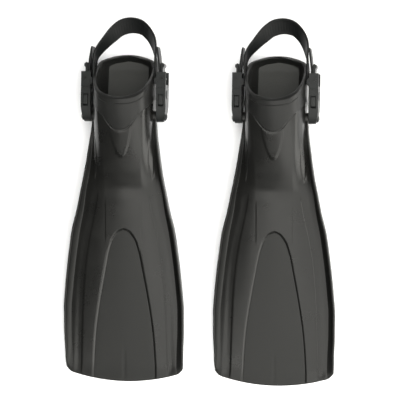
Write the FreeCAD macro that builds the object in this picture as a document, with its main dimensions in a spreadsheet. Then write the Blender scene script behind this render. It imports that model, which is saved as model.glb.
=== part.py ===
import FreeCAD, Part
import os, sys, math
import Sketcher
from FreeCAD import Vector, Placement, Rotation

# A pair of open-heel swim fins, millimetres.
# Row frame: +X to the right, +Y from blade tip to heel, +Z up, origin on the
# floor under the middle of the pair.  Each fin has its own long axis at
# x = -/+ fin_pitch/2 and its blade tip at y = -tip_back.

os.makedirs("parts", exist_ok=True)
doc = FreeCAD.newDocument("SwimFins")
sheet = doc.addObject("Spreadsheet::Sheet", "Dims")
DIM = {}
ROW = [1]


def cell(alias, value, note=""):
    r = ROW[0]
    sheet.set("A%d" % r, note or alias)
    sheet.set("B%d" % r, "%.6g" % value)
    sheet.setAlias("B%d" % r, alias)
    DIM[alias] = float(value)
    ROW[0] += 1


class Q:
    """A number together with the spreadsheet expression that gives it."""

    def __init__(self, v, e=None):
        self.v = float(v)
        self.e = e if e is not None else "%.6f" % float(v)

    @staticmethod
    def of(a):
        return a if isinstance(a, Q) else Q(a)

    def __add__(self, o):
        o = Q.of(o)
        return Q(self.v + o.v, "(%s + %s)" % (self.e, o.e))
    __radd__ = __add__

    def __sub__(self, o):
        o = Q.of(o)
        return Q(self.v - o.v, "(%s - %s)" % (self.e, o.e))

    def __rsub__(self, o):
        return Q.of(o) - self

    def __mul__(self, o):
        o = Q.of(o)
        return Q(self.v * o.v, "(%s * %s)" % (self.e, o.e))
    __rmul__ = __mul__

    def __truediv__(self, o):
        o = Q.of(o)
        return Q(self.v / o.v, "(%s / %s)" % (self.e, o.e))

    def __neg__(self):
        return Q(-self.v, "(0 - %s)" % self.e)


def D(alias):
    return Q(DIM[alias], "Dims." + alias)


# ---------------------------------------------------------------- dimensions
for a, v, n in [
    ("fin_pitch", 264, "distance between the two fins' long axes"),
    ("tip_back", 318, "blade tip behind the row origin"),
    ("skid_w", 96, "width of the flat skid under the blade tip"),
    ("skid_t", 0.5, "height of the tip skid"),
    ("skid_near", 4, "front edge of the tip skid from the blade tip"),
    ("skid_far", 16, "rear edge of the tip skid from the blade tip"),
    ("post_x", 66, "buckle middle from the fin axis"),
    ("post_y", 463, "buckle pivot from the blade tip"),
    ("post_z", 47, "buckle pivot above the floor"),
    ("post_r", 5, "pivot post radius"),
    ("bore_r", 5.05, "socket bore radius"),
    ("boss_r", 10, "post root boss radius"),
    ("buckle_t", 16.6, "buckle thickness across the fin"),
    ("buckle_h", 34, "buckle height"),
    ("mouth_y", 50, "socket mouth from the post axis"),
    ("wall_y", 15, "end of the socket cavity"),
    ("cav_hw", 4.6, "socket cavity half width"),
    ("cav_hh", 13.6, "socket cavity half height"),
    ("win_front", 17, "release window front"),
    ("win_rear", 38, "release window rear"),
    ("head_gap", 0.3, "clip head to socket mouth"),
    ("head_end", 77, "rear end of the clip head"),
    ("head_wall", 54.8, "rear face of the clip's front wall"),
    ("plate_z", 13.8, "inner faces of the clip plates"),
    ("tongue_hw", 3.4, "guide tongue half width"),
    ("tongue_hh", 3.8, "guide tongue half height"),
    ("prong_hw", 3.8, "release prong half width"),
    ("prong_lo", 8.5, "release prong underside"),
    ("prong_hi", 11.5, "release prong arm top"),
    ("button_hi", 18, "release button top"),
    ("button_front", 18, "release button front"),
    ("button_rear", 37, "release button rear"),
    ("roller_x", 7.8, "strap roller inboard of the buckle middle"),
    ("roller_y", 61, "strap roller from the post axis"),
    ("roller_r", 2.1, "strap roller radius"),
    ("journal_r", 1.2, "roller journal radius"),
    ("pin_x", 1.5, "ratchet lever pin outboard of the buckle middle"),
    ("pin_y", 66, "ratchet lever pin from the post axis"),
    ("pin_r", 2, "ratchet lever pin radius"),
    ("pin_bore_r", 2.05, "ratchet lever bore radius"),
    ("hub_r", 3.1, "ratchet lever hub radius"),
    ("strap_t", 3.6, "strap thickness without teeth"),
    ("strap_hh", 13, "strap half height"),
    ("tooth_h", 1.5, "strap tooth height"),
    ("tooth_pitch", 5, "strap tooth pitch"),
    ("tooth_n", 7, "strap teeth on each side"),
    ("panel_t", 1.4, "blade panel thickness"),
    ("recess_d", 3.0, "depth of the panel recess in the blade"),
    ("sole_t", 4, "outsole thickness"),
    ("bed_t", 3, "footbed thickness"),
    ("floor_t", 4, "foot pocket floor thickness"),
]:
    cell(a, v, n)

# Stations along a fin.  y from the blade tip; every other number in mm.
# blade: half width, underside, edge height, then two shoulder points, crown
BLADE = [
    (0, 36, 0.4, 3.2, 24, 3.4, 12, 3.5, 3.6),
    (5, 64, 0.4, 3.4, 43, 3.7, 21, 3.9, 4.0),
    (12, 84, 0.4, 3.5, 58, 3.9, 32, 4.3, 4.5),
    (20, 89.5, 0.4, 3.6, 66, 4.2, 36, 4.7, 4.9),
    (55, 92.6, 3.9, 6.9, 70, 8.3, 38, 9.2, 9.5),
    (90, 93.9, 7.9, 10.6, 70, 12.6, 38, 13.9, 14.3),
    (125, 93.9, 11.8, 14.2, 70, 16.8, 38, 18.4, 18.9),
    (160, 91.3, 15.8, 18.0, 69, 21.0, 38, 23.0, 23.6),
    (195, 87.8, 19.7, 21.8, 67, 25.2, 37, 27.6, 28.4),
    (230, 83.4, 23.6, 25.8, 65, 29.4, 36, 32.3, 33.2),
    (265, 78.1, 27.6, 30.0, 62, 33.8, 35, 37.0, 38.0),
    (300, 71.4, 31.5, 34.6, 57, 38.6, 33, 41.8, 43.0),
    (335, 66.4, 35.4, 39.5, 52, 44.2, 31, 48.3, 50.0),
    (352, 62.8, 37.9, 42.5, 50, 48.0, 31, 54.0, 56.0),
    (370, 59.4, 34.8, 45.5, 48.5, 53.0, 31.5, 60.5, 63.0),
    (405, 55.1, 28.7, 51.0, 48, 60.5, 34, 71.0, 76.0),
    (438, 51.6, 23.0, 56.0, 48.5, 67.0, 36.5, 81.0, 88.0),
]
# hollow for the toes inside the blade's box
TOES = [
    (358, 30, 40.9, 42.8, 24, 44.8, 14, 46.2, 46.8),
    (370, 40, 38.8, 44.0, 36, 49.0, 24, 53.6, 55.2),
    (405, 47.5, 32.7, 50.0, 42, 56.0, 30, 65.5, 70.0),
    (438, 46.6, 27.0, 54.0, 43.5, 64.0, 32.5, 76.5, 83.0),
]
POCKET = [
    (438, 51.6, 23.0, 56.0, 48.5, 67.0, 36.5, 81.0, 88.0),
    (465, 52.0, 18.4, 58.0, 49.5, 72.0, 38.0, 89.0, 98.0),
    (489, 52.0, 14.2, 60.0, 49.5, 75.0, 39.0, 94.0, 106.0),
    (505, 50.2, 11.4, 60.0, 48.2, 76.0, 39.0, 96.0, 109.0),
    (535, 50.2, 6.3, 60.0, 48.2, 76.0, 39.0, 96.0, 109.0),
    (548, 50.2, 4.0, 60.0, 48.2, 76.0, 39.0, 96.0, 109.0),
    (559, 50.2, 4.0, 60.0, 48.2, 76.0, 39.0, 96.0, 109.0),
    (566, 41.0, 4.0, 60.0, 39.0, 76.0, 31.0, 96.0, 109.0),
    (571, 22.0, 4.0, 60.0, 20.0, 76.0, 14.0, 96.0, 109.0),
]
FOOT = [
    (437, 46.6, 27.2, 54.0, 43.5, 64.0, 32.5, 76.3, 82.8),
    (465, 47.0, 22.4, 56.0, 44.5, 69.0, 33.5, 84.5, 92.5),
    (489, 47.0, 18.2, 58.0, 44.5, 72.0, 34.5, 89.0, 100.5),
    (505, 45.4, 15.4, 58.0, 43.3, 73.0, 34.5, 91.0, 103.5),
    (535, 45.4, 10.3, 58.0, 43.3, 73.0, 34.5, 91.0, 118.0),
    (548, 45.4, 8.0, 58.0, 43.3, 73.0, 34.5, 91.0, 118.0),
    (555, 45.0, 8.0, 58.0, 43.0, 73.0, 34.5, 91.0, 118.0),
    (562, 35.5, 8.0, 58.0, 33.5, 73.0, 26.0, 91.0, 118.0),
    (565.5, 18.0, 8.0, 58.0, 16.0, 73.0, 11.0, 91.0, 118.0),
]
RIM = [(489.5, 125), (489.5, 103), (500, 97), (515, 84), (530, 66),
       (545, 45), (556, 30), (564, 23), (576, 20), (590, 20), (590, 125)]
PANEL = [(9, 40.0), (20, 54.7), (55, 53.0), (90, 50.2), (125, 45.5),
         (160, 39.6), (195, 33.0), (230, 26.0), (247, 20.5), (258, 14.0),
         (265, 6.0)]
# side rail: outer half width, underside, top
RAIL = [
    (12, 93.0, 0, 5.0), (20, 100.8, 0, 7.5), (55, 104.6, 3.9, 15.5),
    (90, 105.9, 7.9, 21.5), (125, 105.9, 11.8, 27.0), (160, 103.3, 15.8, 32.5),
    (195, 99.8, 19.7, 37.5), (230, 95.4, 23.6, 42.0),
    (265, 90.1, 27.6, 46.5), (300, 81.4, 31.5, 50.5),
    (335, 74.4, 35.4, 53.5), (352, 70.8, 37.0, 55.0),
    (370, 67.4, 37.0, 56.0), (405, 62.1, 37.0, 56.0),
    (438, 57.6, 37.0, 54.0), (447, 56.4, 38.0, 52.0),
]
# outsole: half width and underside
SOLE = [(352, 38, 33.9), (370, 44, 30.8), (405, 48, 24.7), (438, 48, 19.0),
        (465, 47.5, 14.4), (489, 46.5, 10.2), (505, 45.5, 7.4),
        (535, 45.5, 2.3), (548, 45.5, 0.0), (559, 45.5, 0.0),
        (566, 37, 0.0), (571, 20, 0.0)]
BED = [(368, 33, 39.2), (405, 41, 32.8), (438, 42.4, 27.1),
       (465, 44, 22.5), (489, 44, 18.3), (505, 43, 15.5), (535, 43, 10.4),
       (548, 43, 8.05), (554, 42.5, 8.05), (560, 33, 8.05), (563.5, 18, 8.05)]
# heel loop: top edge and bottom edge of the band
LOOP = [
    (-54.2, 524.5, 60.0, -54.2, 524.5, 34.0),
    (-54.2, 535.0, 60.0, -54.2, 535.0, 34.0),
    (-54.2, 549.0, 60.0, -54.2, 548.0, 34.0),
    (-53.6, 572.0, 60.0, -51.6, 562.0, 34.5),
    (-49.0, 586.0, 59.5, -43.6, 573.5, 35.5),
    (-38.0, 603.0, 59.0, -32.5, 584.5, 37.0),
    (-26.0, 618.6, 58.0, -21.0, 594.5, 38.5),
    (-11.0, 630.0, 57.0, -8.0, 604.0, 40.0),
    (8.0, 635.1, 56.5, 8.5, 608.0, 41.0),
    (27.0, 629.5, 57.0, 24.5, 605.0, 40.0),
    (40.5, 617.6, 58.0, 34.0, 596.0, 38.5),
    (49.5, 603.0, 59.0, 41.0, 586.0, 37.0),
    (53.2, 588.0, 59.5, 47.0, 575.0, 35.5),
    (54.2, 574.0, 60.0, 52.0, 562.5, 34.5),
    (54.2, 549.0, 60.0, 54.2, 548.0, 34.0),
    (54.2, 535.0, 60.0, 54.2, 535.0, 34.0),
    (54.2, 524.5, 60.0, 54.2, 524.5, 34.0),
]


def table(tag, rows):
    for i, row in enumerate(rows):
        for j, v in enumerate(row):
            cell("%s_%s_%s" % (tag, "abcdefghijklmnopqrst"[i],
                               "abcdefghijklmnopqrst"[j]), v,
                 "%s station %d value %d" % (tag, i, j))


def T(tag, i, j):
    return D("%s_%s_%s" % (tag, "abcdefghijklmnopqrst"[i],
                           "abcdefghijklmnopqrst"[j]))


for tag, rows in [("blade", BLADE), ("toes", TOES), ("pocket", POCKET),
                  ("foot", FOOT), ("rim", RIM), ("panel", PANEL),
                  ("rail", RAIL), ("sole", SOLE), ("bed", BED),
                  ("loop", LOOP)]:
    table(tag, rows)
doc.recompute()

NODES = []


# ------------------------------------------------------------------- helpers
def new_body(name):
    b = doc.addObject("PartDesign::Body", name.replace("-", "_"))
    b.Label = name
    NODES.append(b)
    return b


def plane(body, role):
    return [f for f in body.Origin.OriginFeatures if f.Role == role][0]


def new_sketch(body, name, role, off=None, flip=1):
    sk = body.newObject("Sketcher::SketchObject", name)
    sk.AttachmentSupport = [(plane(body, role), "")]
    sk.MapMode = "FlatFace"
    if off is not None:
        off = Q.of(off)
        sk.AttachmentOffset = Placement(Vector(0, 0, flip * off.v), Rotation())
        sk.setExpression("AttachmentOffset.Base.z",
                         off.e if flip > 0 else "0 - %s" % off.e)
    return sk


def add_poly(sk, pts):
    pts = [(Q.of(x), Q.of(y)) for x, y in pts]
    n = len(pts)
    g0 = sk.GeometryCount
    for k in range(n):
        a, b = pts[k], pts[(k + 1) % n]
        sk.addGeometry(Part.LineSegment(Vector(a[0].v, a[1].v, 0),
                                        Vector(b[0].v, b[1].v, 0)), False)
    for k in range(n):
        sk.addConstraint(Sketcher.Constraint("Coincident", g0 + k, 2,
                                             g0 + (k + 1) % n, 1))
    for k, (x, y) in enumerate(pts):
        c = sk.addConstraint(Sketcher.Constraint("DistanceX", -1, 1, g0 + k, 1, x.v))
        if "Dims" in x.e:
            sk.setExpression("Constraints[%d]" % c, x.e)
        c = sk.addConstraint(Sketcher.Constraint("DistanceY", -1, 1, g0 + k, 1, y.v))
        if "Dims" in y.e:
            sk.setExpression("Constraints[%d]" % c, y.e)


def add_circle(sk, x, y, r):
    x, y, r = Q.of(x), Q.of(y), Q.of(r)
    g = sk.GeometryCount
    sk.addGeometry(Part.Circle(Vector(x.v, y.v, 0), Vector(0, 0, 1), r.v), False)
    c = sk.addConstraint(Sketcher.Constraint("Radius", g, r.v))
    if "Dims" in r.e:
        sk.setExpression("Constraints[%d]" % c, r.e)
    for kind, q in (("DistanceX", x), ("DistanceY", y)):
        c = sk.addConstraint(Sketcher.Constraint(kind, -1, 1, g, 3, q.v))
        if "Dims" in q.e:
            sk.setExpression("Constraints[%d]" % c, q.e)


def pad(body, name, sk, length, mid=True, reverse=False):
    p = body.newObject("PartDesign::Pad", name)
    p.Profile = sk
    length = Q.of(length)
    p.Length = length.v
    if "Dims" in length.e:
        p.setExpression("Length", length.e)
    p.Midplane = mid
    p.Reversed = reverse
    sk.Visibility = False
    return p


def pocket(body, name, sk, length=None, mid=True, reverse=False):
    """Cut, then prove that material really went away."""
    doc.recompute()
    before = body.Shape.Volume
    p = body.newObject("PartDesign::Pocket", name)
    p.Profile = sk
    if length is None:
        p.Type = "ThroughAll"
    else:
        length = Q.of(length)
        p.Type = "Length"
        p.Length = length.v
        if "Dims" in length.e:
            p.setExpression("Length", length.e)
    p.Midplane = mid
    p.Reversed = reverse
    sk.Visibility = False
    doc.recompute()
    if not body.Shape.Volume < before - 1e-6:
        raise RuntimeError("%s cut nothing" % name)
    return p


def loft(body, name, sketches, cut=False):
    kind = "PartDesign::SubtractiveLoft" if cut else "PartDesign::AdditiveLoft"
    if cut:
        doc.recompute()
        before = body.Shape.Volume
    f = body.newObject(kind, name)
    f.Profile = sketches[0]
    f.Sections = sketches[1:]
    f.Ruled = True
    f.Closed = False
    for s in sketches:
        s.Visibility = False
    if cut:
        doc.recompute()
        if not body.Shape.Volume < before - 1e-6:
            raise RuntimeError("%s cut nothing" % name)
    return f


def dome(tag, i, bottom_in=0.9, foot=6):
    """Closed section of a shell: flat underside, upright sides, arched top."""
    w, zb, ze = T(tag, i, 1), T(tag, i, 2), T(tag, i, 3)
    x1, z1 = T(tag, i, 4), T(tag, i, 5)
    x2, z2, zt = T(tag, i, 6), T(tag, i, 7), T(tag, i, 8)
    wb = w * bottom_in
    f = (ze - zb) * foot
    return [(-wb, zb), (wb, zb), (w, zb + f), (w, ze), (x1, z1), (x2, z2),
            (0, zt), (-x2, z2), (-x1, z1), (-w, ze), (-w, zb + f)]


def dome_loft(body, name, tag, rows, cut=False, bottom_in=0.9, foot=0.15):
    sks = []
    for i in range(len(rows)):
        sk = new_sketch(body, "%s_%d" % (name, i), "XZ_Plane", T(tag, i, 0), -1)
        add_poly(sk, dome(tag, i, bottom_in, foot))
        sks.append(sk)
    return loft(body, name, sks, cut)


def place(body, x, y, z, turn=False):
    """Put a body, in millimetres, with its sizes bound to the sheet."""
    x, y, z = Q.of(x), Q.of(y), Q.of(z)
    rot = Rotation(Vector(0, 1, 0), 180) if turn else Rotation()
    body.Placement = Placement(Vector(x.v, y.v, z.v), rot)
    body.setExpression("Placement.Base.x", x.e)
    body.setExpression("Placement.Base.y", y.e)
    body.setExpression("Placement.Base.z", z.e)


def smooth(pts, first=2, step=2):
    """Divide the bent part of a row of points along a cardinal spline."""
    out = []
    n = len(pts)
    for i in range(n - 1):
        a, b = pts[i], pts[i + 1]
        p, q = pts[max(i - 1, 0)], pts[min(i + 2, n - 1)]
        out.append(a)
        if i < first or i >= n - 1 - first:
            continue
        for k in range(1, step):
            t = k / float(step)
            ta, tb = (b - p) * 0.5, (q - a) * 0.5
            out.append(a * (2 * t ** 3 - 3 * t ** 2 + 1) + ta * (t ** 3 - 2 * t ** 2 + t)
                       + b * (-2 * t ** 3 + 3 * t ** 2) + tb * (t ** 3 - t ** 2))
    out.append(pts[-1])
    return out


# ---------------------------------------------------------------- fin pieces
def blade_top(y, x):
    """Height of the blade's upper face at (x, y), by the blade's stations."""
    for i in range(len(BLADE) - 1):
        if BLADE[i][0] <= y <= BLADE[i + 1][0]:
            k = (y - BLADE[i][0]) / float(BLADE[i + 1][0] - BLADE[i][0])
            return face(i, x) * (1 - k) + face(i + 1, x) * k
    raise ValueError(y)


def face(i, x):
    """Upper face of one blade station at x, between its four given points."""
    row = BLADE[i]
    knots = [(0.0, row[8], 8), (row[6], row[7], 7), (row[4], row[5], 5), (row[1], row[3], 3)]
    x = min(abs(x), row[1])
    for (xa, za, ja), (xb, zb, jb) in zip(knots, knots[1:]):
        if x <= xb:
            k = (x - xa) / float(xb - xa)
            return T("blade", i, ja) * (1 - k) + T("blade", i, jb) * k
    return T("blade", i, 3)


def panel_rows(body, name, inset, rise, tuck):
    """Sections that follow the crowned blade face, recess_d below it."""
    sks = []
    for i, row in enumerate(PANEL):
        sk = new_sketch(body, "%s_%d" % (name, i), "XZ_Plane", T("panel", i, 0), -1)
        w = T("panel", i, 1) - inset
        low = []
        for k in (-1.0, -0.5, 0.0, 0.5, 1.0):
            low.append((w * k, blade_top(row[0], row[1] * k) - D("recess_d") - tuck))
        high = [(x, z + rise + tuck) for x, z in low]
        if inset == 0.0:
            high = [high[0], high[-1]]
        add_poly(sk, low + high[::-1])
        sks.append(sk)
    return sks


def build_fin(fin, sign, sides):
    fx = D("fin_pitch") / 2 * sign
    fy = -D("tip_back")

    # stiff plastic blade with the box that holds the toes
    b = new_body(fin + "_blade")
    dome_loft(b, fin + "BladeLoft", "blade", BLADE, bottom_in=0.985, foot=0.5)
    dome_loft(b, fin + "ToeHollow", "toes", TOES, cut=True, bottom_in=0.93, foot=0.3)
    loft(b, fin + "PanelRecess", panel_rows(b, fin + "Recess", 0.0, Q(12), 0.0), cut=True)
    sk = new_sketch(b, fin + "SkidSketch", "XY_Plane")
    add_poly(sk, [(-D("skid_w") / 2, D("skid_near")), (D("skid_w") / 2, D("skid_near")),
                  (D("skid_w") / 2, D("skid_far")), (-D("skid_w") / 2, D("skid_far"))])
    pad(b, fin + "Skid", sk, D("skid_t"), mid=False)
    place(b, fx, fy, 0)

    # arch panel sunk in the blade
    b = new_body(fin + "_blade_panel")
    loft(b, fin + "PanelLoft", panel_rows(b, fin + "Panel", 0.15, D("panel_t"), -0.02))
    place(b, fx, fy, 0)

    # rubber rails along both blade edges
    for side, s in sides:
        b = new_body("%s_%s_rail" % (fin, side))
        sks = []
        for i, row in enumerate(RAIL):
            sk = new_sketch(b, "%s%sRail_%d" % (fin, side, i), "XZ_Plane",
                            T("rail", i, 0), -1)
            wo, zb, zt = T("rail", i, 1), T("rail", i, 2), T("rail", i, 3)
            if i < len(RAIL) - 1:
                wi = T("blade", i + 2, 1)
            else:
                wi = T("pocket", 1, 1)
            add_poly(sk, [(wi * s, zb), ((wo - 1.5) * s, zb), (wo * s, zb + 2),
                          (wo * s, zt - 2.6), ((wo - 2.5) * s, zt),
                          ((wo * 0.35 + wi * 0.65) * s, zt - 0.5), (wi * s, zt - 2.5)])
            sks.append(sk)
        loft(b, "%s%sRailLoft" % (fin, side), sks)
        place(b, fx, fy, 0)

    # rubber foot pocket: shell, foot hollow, sloping rim
    b = new_body(fin + "_foot_pocket")
    dome_loft(b, fin + "PocketLoft", "pocket", POCKET, bottom_in=0.92, foot=0.15)
    dome_loft(b, fin + "FootHollow", "foot", FOOT, cut=True, bottom_in=0.95, foot=0.1)
    sk = new_sketch(b, fin + "RimSketch", "YZ_Plane")
    add_poly(sk, [(T("rim", i, 0), T("rim", i, 1)) for i in range(len(RIM))])
    pocket(b, fin + "RimCut", sk)
    place(b, fx, fy, 0)

    # outsole and footbed
    for node, tag, rows, t in ((fin + "_outsole", "sole", SOLE, D("sole_t")),
                               (fin + "_footbed", "bed", BED, D("bed_t"))):
        b = new_body(node)
        sks = []
        for i, row in enumerate(rows):
            sk = new_sketch(b, "%s_s%d" % (node, i), "XZ_Plane", T(tag, i, 0), -1)
            w, z0 = T(tag, i, 1), T(tag, i, 2)
            add_poly(sk, [(-w, z0), (w, z0), (w, z0 + t - 0.02), (-w, z0 + t - 0.02)])
            sks.append(sk)
        loft(b, node + "Loft", sks)
        place(b, fx, fy, 0)

    # heel strap: one rubber band, looped behind the heel, toothed inside
    strap = doc.addObject("Part::Feature", fin + "_heel_strap")
    strap.Label = fin + "_heel_strap"
    n = len(LOOP)
    tops = [Vector(*[T("loop", i, j).v for j in (0, 1, 2)]) for i in range(n)]
    bots = [Vector(*[T("loop", i, j).v for j in (3, 4, 5)]) for i in range(n)]
    tops, bots = smooth(tops), smooth(bots)
    n = len(tops)
    mids = [(tops[i] + bots[i]) * 0.5 for i in range(n)]
    th = D("strap_t").v
    wires = []
    for i in range(n):
        t = mids[min(i + 1, n - 1)] - mids[max(i - 1, 0)]
        up = (tops[i] - bots[i])
        up.normalize()
        nrm = t.cross(up)
        nrm.normalize()
        o = nrm * (th / 2)
        p = [tops[i] + o, tops[i] - o, bots[i] - o, bots[i] + o]
        wires.append(Part.makePolygon(p + [p[0]]))
    shape = Part.makeLoft(wires, True, True)
    teeth = []
    for s in (-1, 1):
        xin = 54.2 - th / 2
        for k in range(int(D("tooth_n").v)):
            y = 526.0 + k * D("tooth_pitch").v
            if y > 544:
                break
            zh = D("strap_hh").v - 1.5
            pts = [Vector(s * (xin + 0.2), y, D("post_z").v - zh),
                   Vector(s * (xin + 0.2), y + 3.4, D("post_z").v - zh),
                   Vector(s * (xin - D("tooth_h").v), y + 2.2, D("post_z").v - zh),
                   Vector(s * (xin - D("tooth_h").v), y + 1.2, D("post_z").v - zh)]
            f = Part.Face(Part.makePolygon(pts + [pts[0]]))
            teeth.append(f.extrude(Vector(0, 0, 2 * zh)))
    shape = shape.fuse(teeth)
    shape = shape.removeSplitter()
    if len(shape.Solids) == 1:
        shape = shape.Solids[0]
    strap.Shape = shape
    strap.Placement = Placement(Vector(fx.v, fy.v, 0), Rotation())
    NODES.append(strap)

    # caps that keep both sockets on their posts
    caps = []
    for side, s in sides:
        cx = fx + D("post_x") * s
        cap = doc.addObject("PartDesign::Body", "%s_%s_cap_form" % (fin, side))
        sk = new_sketch(cap, "%s%sCapSketch" % (fin, side), "XY_Plane")
        # half section of cap and stem, turned about X
        add_poly(sk, [(-6, 0), (9.4, 0), (9.4, 3), (8.6, 4.4), (7.4, 6.9),
                      (5.45, 6.9), (5.45, 1.9), (-6, 1.9)])
        r = cap.newObject("PartDesign::Revolution", "%s%sCapTurn" % (fin, side))
        r.Profile = sk
        r.ReferenceAxis = (sk, ["H_Axis"])
        r.Angle = 360
        sk.Visibility = False
        place(cap, cx, fy + D("post_y"), D("post_z"), s < 0)
        caps.append(cap)
    comp = doc.addObject("Part::Compound", fin + "_post_caps")
    comp.Label = fin + "_post_caps"
    comp.Links = caps
    NODES.append(comp)

    for side, s in sides:
        build_buckle(fin, side, fx + D("post_x") * s, fy + D("post_y"), s < 0)


# ------------------------------------------------------------- buckle pieces
# Buckle frame: origin on the pivot axis, +X away from the foot, +Y towards
# the strap, +Z up.  The shapes are the same seen from above and below, so the
# left one of each fin is the same body turned half round about +Y.
def build_buckle(fin, side, px, py, turn):
    tag = fin + side
    pz = D("post_z")
    bt, bh = D("buckle_t"), D("buckle_h")
    hw, hh = bt / 2, bh / 2

    # pivot post with its root boss
    b = new_body("%s_%s_post" % (fin, side))
    sk = new_sketch(b, tag + "PostSketch", "XY_Plane")
    pr, br = D("post_r"), D("boss_r")
    add_poly(sk, [(-13.95, 0), (5.4, 0), (5.4, pr - 0.4), (5.0, pr), (-8.8, pr),
                  (-8.8, br - 1), (-9.8, br), (-13.95, br)])
    r = b.newObject("PartDesign::Revolution", tag + "PostTurn")
    r.Profile = sk
    r.ReferenceAxis = (sk, ["H_Axis"])
    r.Angle = 360
    sk.Visibility = False
    sk = new_sketch(b, tag + "PostHole", "YZ_Plane", 5.4, 1)
    add_circle(sk, 0, 0, 1.95)
    pocket(b, tag + "PostHoleCut", sk, 12.4, mid=False)
    place(b, px, py, pz, turn)

    # socket
    b = new_body("%s_%s_socket" % (fin, side))
    sk = new_sketch(b, tag + "SocketSide", "YZ_Plane")
    m = D("mouth_y")
    arc = []
    for a in (125, 145, 165, 180, 195, 215, 235):
        arc.append((9.5 * math.cos(math.radians(a)), 9.5 * math.sin(math.radians(a))))
    add_poly(sk, [(14, -hh + 2), (20, -hh), (m, -hh), (m, hh), (20, hh), (14, hh - 2),
                  (2, 11.5)] + arc + [(2, -11.5)])
    pad(b, tag + "SocketBlock", sk, bt)
    sk = new_sketch(b, tag + "SocketBadge", "YZ_Plane", hw - 0.2, 1)
    add_circle(sk, 38, 0, 8)
    pad(b, tag + "SocketDisc", sk, 1.2, mid=False)
    # tapered nose, seen from above
    sk = new_sketch(b, tag + "NoseSketch", "XY_Plane")
    add_poly(sk, [(hw + 1, -12), (hw + 1, 12), (hw, 12), (hw - 1.4, 2), (hw - 3.6, -6),
                  (hw - 5.5, -12)])
    pocket(b, tag + "NoseCut", sk)
    sk = new_sketch(b, tag + "CavitySketch", "XY_Plane")
    c, wy = D("cav_hw"), D("wall_y")
    add_poly(sk, [(-c, wy), (c, wy), (c, m + 1), (-c, m + 1)])
    pocket(b, tag + "Cavity", sk, D("cav_hh") * 2)
    sk = new_sketch(b, tag + "WindowSketch", "XY_Plane")
    add_poly(sk, [(-c, D("win_front")), (c, D("win_front")), (c, D("win_rear")),
                  (-c, D("win_rear"))])
    pocket(b, tag + "Windows", sk)
    sk = new_sketch(b, tag + "BoreSketch", "YZ_Plane")
    add_circle(sk, 0, 0, D("bore_r"))
    pocket(b, tag + "Bore", sk)
    sk = new_sketch(b, tag + "CapSeatSketch", "YZ_Plane", 5.3, 1)
    add_circle(sk, 0, 0, 7.2)
    pocket(b, tag + "CapSeat", sk, 6, mid=False, reverse=True)
    place(b, px, py, pz, turn)

    # clip: head with two plates, guide tongue, pin holes
    b = new_body("%s_%s_clip" % (fin, side))
    y0, y1 = m + D("head_gap"), D("head_end")
    sk = new_sketch(b, tag + "HeadSketch", "XY_Plane")
    add_poly(sk, [(-hw, y0), (hw, y0), (hw, y1), (-hw, y1), (-hw, 68), (-11.8, 65.5),
                  (-11.8, 57), (-hw, 54.5)])
    pad(b, tag + "Head", sk, bh)
    sk = new_sketch(b, tag + "HeadSlot", "XY_Plane")
    hwall = D("head_wall")
    add_poly(sk, [(-14, hwall), (hw + 1, hwall), (hw + 1, y1 + 1), (-14, y1 + 1)])
    pocket(b, tag + "HeadGap", sk, D("plate_z") * 2)
    sk = new_sketch(b, tag + "TongueSketch", "XY_Plane")
    tw = D("tongue_hw")
    add_poly(sk, [(-tw, 18), (-tw + 1, 16), (tw - 1, 16), (tw, 18), (tw, y0 + 1), (-tw, y0 + 1)])
    pad(b, tag + "Tongue", sk, D("tongue_hh") * 2)
    sk = new_sketch(b, tag + "PinHoles", "XY_Plane")
    add_circle(sk, -D("roller_x"), D("roller_y"), D("journal_r") + 0.05)
    add_circle(sk, D("pin_x"), D("pin_y"), D("pin_r") + 0.02)
    pocket(b, tag + "PinHolesCut", sk)
    place(b, px, py, pz, turn)

    # strap roller with its two journals
    b = new_body("%s_%s_strap_roller" % (fin, side))
    sk = new_sketch(b, tag + "RollerSketch", "XY_Plane")
    add_circle(sk, -D("roller_x"), D("roller_y"), D("roller_r"))
    pad(b, tag + "Roller", sk, D("plate_z") * 2 - 0.4)
    sk = new_sketch(b, tag + "JournalSketch", "XY_Plane")
    add_circle(sk, -D("roller_x"), D("roller_y"), D("journal_r"))
    pad(b, tag + "Journals", sk, bh)
    place(b, px, py, pz, turn)

    # strap end: turned round the roller, tail lying back outside the loop
    b = new_body("%s_%s_strap_tail" % (fin, side))
    sk = new_sketch(b, tag + "TailSketch", "XY_Plane")
    cx, cy = -7.8, 61.0
    ri, ro = 2.5, 5.8
    outer = [(cx + ro * math.cos(math.radians(a)), cy + ro * math.sin(math.radians(a)))
             for a in (180, 202, 225, 247, 270, 292, 315, 337, 360)]
    inner = [(cx + ri * math.cos(math.radians(a)), cy + ri * math.sin(math.radians(a)))
             for a in (360, 315, 270, 225, 180)]
    add_poly(sk, outer + [(-2.1, 77), (-3.0, 90), (-4.6, 104), (-6.4, 116), (-7.4, 120),
                          (-8.8, 121), (-9.7, 119), (-8.9, 108), (-7.4, 97), (-5.9, 84),
                          (-5.6, 77)] + inner)
    pad(b, tag + "Tail", sk, D("strap_hh") * 2)
    place(b, px, py, pz, turn)

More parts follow.
